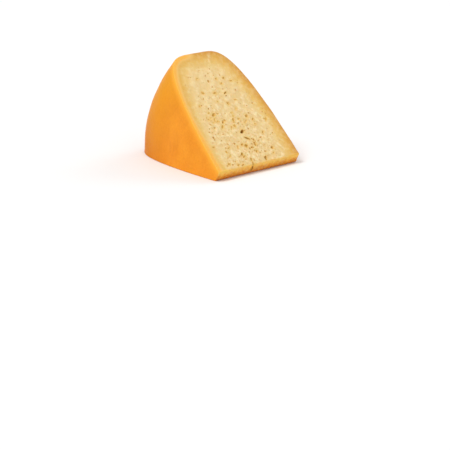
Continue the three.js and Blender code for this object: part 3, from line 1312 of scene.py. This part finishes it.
@dataclass(frozen=True)
class Tints:
    """Where the tints of the finishes lie, stored at each point for the materials to read."""

    crust_level: float = 0.95
    crust_far: tuple[float, float] = (0.25, 0.2)
    crust_up: float = 0.55
    crust_up_heights: tuple[float, float] = (60 * MM, 150 * MM)
    crust_low: float = 0.5
    crust_low_heights: tuple[float, float] = (60 * MM, 15 * MM)
    rim_radii: tuple[float, float] = (112 * MM, 168 * MM)
    rim_shade_fade: float = 0.9
    coat_share: float = 0.8
    lip_width: float = 7.5 * MM
    lip_softness: float = 5.5 * MM
    lip_high: float = 2.5 * MM
    lip_high_heights: tuple[float, float] = (120 * MM, 180 * MM)
    lip_low: float = 3 * MM
    lip_low_heights: tuple[float, float] = (110 * MM, 50 * MM)
    lip_near: float = -0.25
    skin: float = 2 * MM
    pit_start: float = 0.3
    tip_width: float = 2.5 * MM
    streak_place: tuple[float, float] = (178 * MM, 17 * MM)
    streak_lean: float = 0.52
    streak_width: float = 4 * MM
    streak_heights: tuple[float, float] = (105 * MM, 135 * MM)
    streak_depths: tuple[float, float] = (3 * MM, 9 * MM)
    streak_share: float = 0.5
    halo_skin: float = 3 * MM
    halo_width: float = 1.2 * MM
    halo_fade: tuple[float, float] = (1.5, 0.5)
    comb_depths: tuple[float, float] = (8 * MM, 20 * MM)

    def crust(self, at: Places) -> np.ndarray:
        """How deep points seem to lie beneath the rind, as the golden band is wider in places.

        Args:
            at: Where the points lie.

        Returns:
            The depths that the band's colour follows.
        """
        far, farther = self.crust_far
        width = self.crust_level + far * at.across + farther * np.maximum(at.across, 0)
        width += self.crust_up * rise(at.up, *self.crust_up_heights)
        width += self.crust_low * rise(at.up, *self.crust_low_heights)
        return at.rind / width

    def lip(self, at: Places) -> np.ndarray:
        """How much points belong to the bright lip along the near edge of the slope.

        Args:
            at: Where the points lie.

        Returns:
            A value for each point, from 0 to 1.
        """
        width = self.lip_width + self.lip_high * rise(at.up, *self.lip_high_heights)
        width += self.lip_low * rise(at.up, *self.lip_low_heights)
        return rise(at.rind, width, width - self.lip_softness) * rise(at.across, 0, self.lip_near)

    def streak(self, at: Places) -> np.ndarray:
        """How much points belong to the pale streak near the top of the slope.

        Args:
            at: Where the points lie.

        Returns:
            A value for each point, from 0 to 1.
        """
        top, middle = self.streak_place
        gap = np.abs(at.side - middle + (top - at.up) * self.streak_lean)
        inside = rise(at.up, *self.streak_heights) * rise(at.rind, *self.streak_depths)
        return self.streak_share * rise(gap, self.streak_width, 0) * inside

    def halo(self, at: Places, shapes: tuple[Opening, ...]) -> np.ndarray:
        """How close points of the slope lie to a large opening.

        Args:
            at: Where the points lie.
            shapes: The large openings.

        Returns:
            A value for each point, from 0 to 1 at an opening's rim.
        """
        halo = np.zeros(len(at.up))
        for shape in shapes:
            turn = -math.radians(shape.turn)
            high, wide = at.up - shape.up, at.side - shape.across
            along = high * math.cos(turn) + wide * math.sin(turn)
            beside = wide * math.cos(turn) - high * math.sin(turn)
            gap = np.hypot(along / (shape.length + self.halo_width), beside / (shape.width + self.halo_width))
            halo = np.maximum(halo, rise(gap, *self.halo_fade))
        return halo

    def write(self, mesh: bpy.types.Mesh, surface: Surface, shapes: tuple[Opening, ...]) -> None:
        """Stores what the finishes read.

        Args:
            mesh: The carved wedge.
            surface: Its surface before the carving.
            shapes: The large openings of the slope.
        """
        wedge = surface.wedge
        points = read_points(mesh)
        x, side, z = points.T
        gaps, _ = wedge.gaps(points)
        slope, base, tip = gaps[Side.SLOPE], gaps[Side.BASE], gaps[Side.TIP]
        nearest = np.minimum.reduce([gaps[Side.RIND], slope, base, tip])
        at = Places(np.maximum(gaps[Side.RIND], 0), side, side / wedge.wheel.half_thickness,
                    wedge.up_cut(points, Side.SLOPE))
        radius = np.hypot(x - wedge.axis_x, z)
        turn = np.arctan2(z, wedge.axis_x - x)
        outer = rise(radius, *self.rim_radii)
        combed = surface.combing(points) / surface.comb_swell.height * rise(at.rind, *self.comb_depths)
        values = {
            "crust": self.crust(at),
            # Where the rind gets painted shade: the outer rind, fading up the turn.
            "rim": outer * (1 - self.rim_shade_fade * turn / wedge.angle),
            # Where the rind gets a painted highlight: the outer rind, growing up the turn.
            "high_rim_highlight": outer * turn / wedge.angle,
            "coat": np.stack([turn * self.coat_share * wedge.wheel.radius, side, radius], axis=1),
            "slope_gap": np.maximum(slope, 0),
            "lip": self.lip(at) * (slope < self.skin),
            # Depth beneath the surface, which the paste darkens as painted shade.
            "pit": np.maximum(nearest + surface.swell(points, gaps) - self.pit_start * wedge.edge_radius, 0),
            "tip_share": rise(tip, self.tip_width, 0),
            "crumble": np.where(slope < base, surface.crumble(points, gaps, Side.SLOPE),
                                surface.crumble(points, gaps, Side.BASE)),
            "cream": self.streak(at) * (slope < self.skin),
            "halo": self.halo(at, shapes) * (slope < self.halo_skin),
            # The comb ridges' height, which the paste turns into painted highlight and shade.
            "comb": combed * (slope < self.skin),
        }
        for name, numbers in values.items():
            write_attribute(mesh, name, numbers)


@dataclass(frozen=True)
class Cheese:
    """The wedge with its rounding, its uneven surface, its eyes and its finishes."""

    name: str = "gouda_wedge"
    surface: Surface = field(default_factory=Surface)
    eyes: Eyes = field(default_factory=Eyes)
    tints: Tints = field(default_factory=Tints)
    rind: RindFinish = field(default_factory=RindFinish)
    paste: PasteFinish = field(default_factory=PasteFinish)
    sliver: float = 0.002 * MM
    sharp_angle: float = math.radians(50)

    def carve(self, target: bpy.types.Object, tools: list[bpy.types.Object]) -> None:
        """Takes closed shapes out of the wedge and removes them.

        Args:
            target: The wedge.
            tools: The closed shapes.
        """
        group = bpy.data.collections.new("tools")
        bpy.context.scene.collection.children.link(group)
        for tool in tools:
            bpy.context.scene.collection.objects.unlink(tool)
            group.objects.link(tool)
            tool.data.materials.clear()
            for material in target.data.materials:
                tool.data.materials.append(material)
            tool.data.polygons.foreach_set("material_index", [Finish.PASTE.value] * len(tool.data.polygons))
        cut = target.modifiers.new("cut", "BOOLEAN")
        cut.operation = "DIFFERENCE"
        cut.solver = "MANIFOLD"
        cut.operand_type = "COLLECTION"
        cut.collection = group
        mesh = evaluated_mesh(target)
        target.modifiers.remove(cut)
        with edited(mesh) as working:
            bmesh.ops.remove_doubles(working, verts=working.verts, dist=self.sliver)
            bmesh.ops.delete(working, geom=loose_crumbs(working), context="VERTS")
        target.data = mesh
        for tool in tools:
            bpy.data.objects.remove(tool)
        bpy.data.collections.remove(group)

    def build(self) -> bpy.types.Object:
        """Builds and dresses the wedge.

        Returns:
            The finished object.
        """
        mottle = mottle_group()
        finishes = [self.rind.build(mottle), self.paste.build(mottle)]
        piece = self.surface.body()
        for material in finishes:
            piece.data.materials.append(material)
        self.carve(piece, self.eyes.build(self.surface, finishes[Finish.PASTE.value]))
        self.tints.write(piece.data, self.surface, self.eyes.large)
        piece.data.shade_smooth()
        piece.data.set_sharp_from_angle(angle=self.sharp_angle)
        piece.name = piece.data.name = self.name
        return piece


@dataclass(frozen=True)
class Lamp:
    """A soft light that is even over the whole floor: where it comes from, its spread and its power."""

    name: str
    direction: tuple[float, float, float]
    spread: float
    power: float

    def build(self) -> None:
        """Puts the light in the scene."""
        data = bpy.data.lights.new(self.name, "SUN")
        data.angle = math.radians(self.spread)
        data.energy = self.power
        lamp = new_object(self.name, data)
        lamp.rotation_euler = Vector(self.direction).to_track_quat("Z", "Y").to_euler()


@dataclass(frozen=True)
class Studio:
    """A plain pale floor, soft light and the camera at the photograph's angle."""

    azimuth: float = math.radians(44.18)
    elevation: float = math.radians(15.21)
    roll: float = math.radians(1.39)
    distance: float = 3.0
    lens: float = 190.0
    sensor: float = 36.0
    image_size: int = 450
    axis_pixel: tuple[float, float] = (266.1, 173.9)
    floor_size: float = 16.0
    floor_colour: tuple[float, ...] = (0.95, 0.95, 0.95, 1.0)
    floor_roughness: float = 0.9
    lamps: tuple[Lamp, ...] = (
        Lamp("key", (-0.1, -0.55, 0.85), 28, 1.5), Lamp("back", (0.1, 0.8, 0.6), 30, 0.4),
        Lamp("fill", (0.8, -0.4, 0.5), 40, 0.15),
    )
    air_colour: tuple[float, ...] = (1.0, 1.0, 1.0, 1.0)
    air_strength: float = 0.6

    def camera(self, target: Vector) -> None:
        """Makes the camera, aimed so that the wheel's axis lands on its pixel.

        Args:
            target: The point where the wheel's axis meets the base.
        """
        level = math.cos(self.elevation)
        back = Vector((math.sin(self.azimuth) * level, -math.cos(self.azimuth) * level,
                       math.sin(self.elevation)))
        right = (-back).cross(Vector((0, 0, 1))).normalized()
        upward = right.cross(-back)
        rolled_right = right * math.cos(self.roll) + upward * math.sin(self.roll)
        rolled_up = upward * math.cos(self.roll) - right * math.sin(self.roll)
        facing = Matrix((rolled_right, rolled_up, back)).transposed()
        focal = self.lens / self.sensor * self.image_size
        middle = (self.image_size - 1) / 2
        ray = Vector((self.axis_pixel[0] - middle, middle - self.axis_pixel[1], -focal)).normalized()
        aim = ray.rotation_difference(Vector((0, 0, -1))).to_matrix()
        data = bpy.data.cameras.new("camera")
        data.lens = self.lens
        data.sensor_width = self.sensor
        camera = new_object("camera", data)
        camera.matrix_world = Matrix.Translation(target + back * self.distance) @ (facing @ aim).to_4x4()
        bpy.context.scene.camera = camera

    def floor(self) -> bpy.types.Object:
        """The pale floor.

        Returns:
            The object.
        """
        half = self.floor_size / 2
        mesh = bpy.data.meshes.new("floor")
        mesh.from_pydata([(-half, -half, 0), (half, -half, 0), (half, half, 0), (-half, half, 0)], [],
                         [(0, 1, 2, 3)])
        material, graph, surface, _ = new_material("floor")
        graph.feed(surface, {"Base Color": self.floor_colour, "Roughness": self.floor_roughness})
        mesh.materials.append(material)
        return new_object("floor", mesh)

    def build(self, target: Vector) -> None:
        """Sets up the floor, the lights, the air and the camera.

        Args:
            target: The point where the wheel's axis meets the base.
        """
        self.floor()
        self.camera(target)
        for lamp in self.lamps:
            lamp.build()
        world = bpy.data.worlds.new("studio")
        world.use_nodes = True
        air = world.node_tree.nodes["Background"]
        Graph(world.node_tree).feed(air, {"Color": self.air_colour, "Strength": self.air_strength})
        bpy.context.scene.world = world
        bpy.context.scene.view_settings.view_transform = "Standard"


def main() -> None:
    """Builds the cheese, attaches it to its body, hides the imported part and builds the studio."""
    logging.basicConfig(level=logging.INFO, format="%(name)s: %(message)s")
    cheese = Cheese()
    piece = cheese.build()
    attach(piece, BODY)
    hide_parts(NODE)
    log.info("%s: %d faces, %d points", piece.name, len(piece.data.polygons), len(piece.data.vertices))
    Studio().build(Vector((cheese.surface.wedge.axis_x, 0, 0)))


if __name__ == "__main__":
    main()
